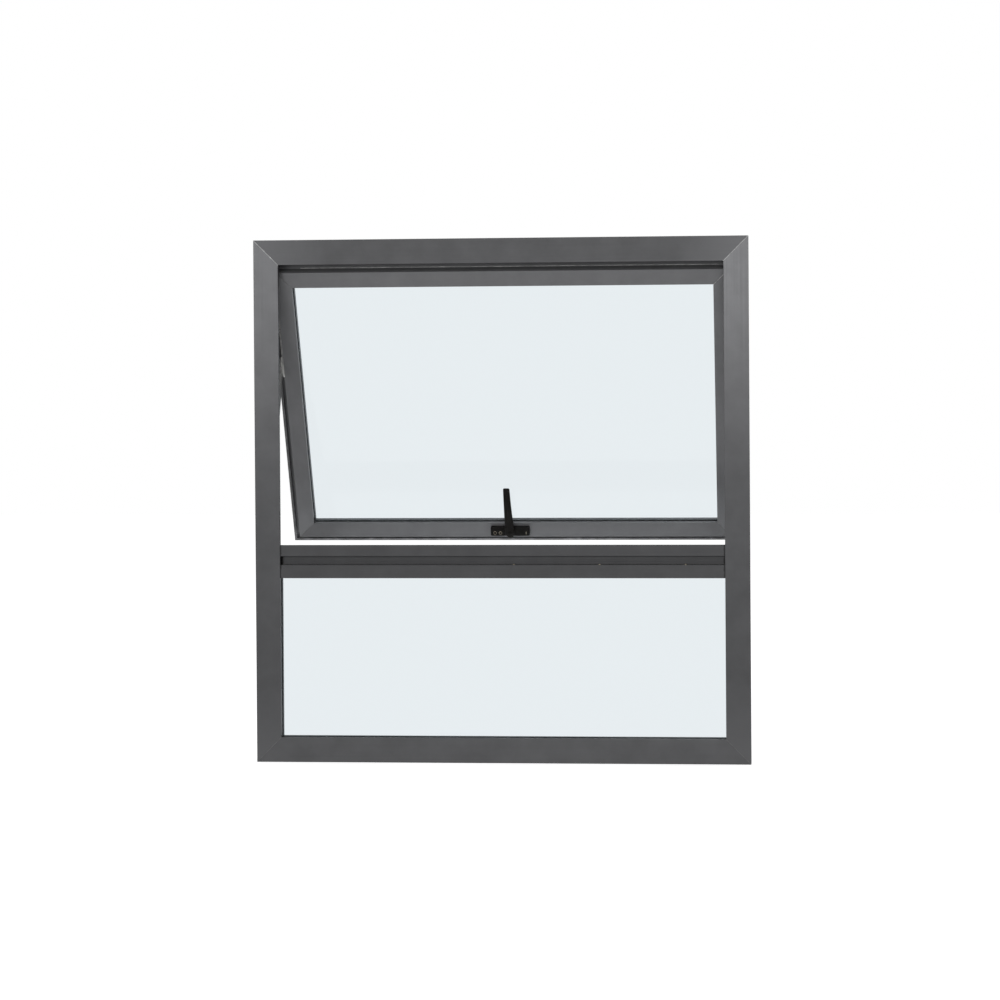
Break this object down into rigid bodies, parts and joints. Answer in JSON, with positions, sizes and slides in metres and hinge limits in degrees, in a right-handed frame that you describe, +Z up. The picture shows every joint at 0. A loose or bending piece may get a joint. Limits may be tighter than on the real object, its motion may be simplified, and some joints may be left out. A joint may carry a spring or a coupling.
{
  "type": "top-hung aluminium window over a fixed light",
  "caption": "Charcoal aluminium window: a top-hung sash held open on friction stays above a fixed light, with a black cam handle.",
  "frame": {"origin": "middle of the sill's underside, half way through the frame's depth", "axes": "+Z up, +X to the right as seen from the room, +Y outwards through the wall"},
  "size_m": [0.9, 0.23, 0.95],
  "materials": {
    "frame_aluminium": "charcoal grey powder coat, satin",
    "glass": "clear float glass, polished",
    "gasket_rubber": "black EPDM, matt",
    "stay_steel": "brushed stainless steel",
    "handle_black": "black powder coat, satin"
  },
  "bodies": {
    "root": {"fixed_bead_bottom": "frame_aluminium", "fixed_bead_left": "frame_aluminium", "fixed_bead_right": "frame_aluminium", "fixed_bead_top": "frame_aluminium", "fixed_glass": "glass", "fixed_inner_gasket": "gasket_rubber", "fixed_outer_gasket": "gasket_rubber", "frame_head": "frame_aluminium", "frame_left_jamb": "frame_aluminium", "frame_right_jamb": "frame_aluminium", "frame_seal": "gasket_rubber", "frame_sill": "frame_aluminium", "frame_transom": "frame_aluminium", "handle_base": "handle_black", "handle_cam": "handle_black", "handle_lever": "handle_black", "left_stay_sash_bar": "stay_steel", "left_stay_short_arm": "stay_steel", "left_stay_slider": "stay_steel", "left_stay_support_arm": "stay_steel", "left_stay_track": "stay_steel", "right_stay_sash_bar": "stay_steel", "right_stay_short_arm": "stay_steel", "right_stay_slider": "stay_steel", "right_stay_support_arm": "stay_steel", "right_stay_track": "stay_steel", "sash_bead_bottom": "frame_aluminium", "sash_bead_left": "frame_aluminium", "sash_bead_right": "frame_aluminium", "sash_bead_top": "frame_aluminium", "sash_bottom_rail": "frame_aluminium", "sash_glass": "glass", "sash_inner_gasket": "gasket_rubber", "sash_left_stile": "frame_aluminium", "sash_outer_gasket": "gasket_rubber", "sash_right_stile": "frame_aluminium", "sash_seal": "gasket_rubber", "sash_top_rail": "frame_aluminium"}
  },
  "joints": []
}
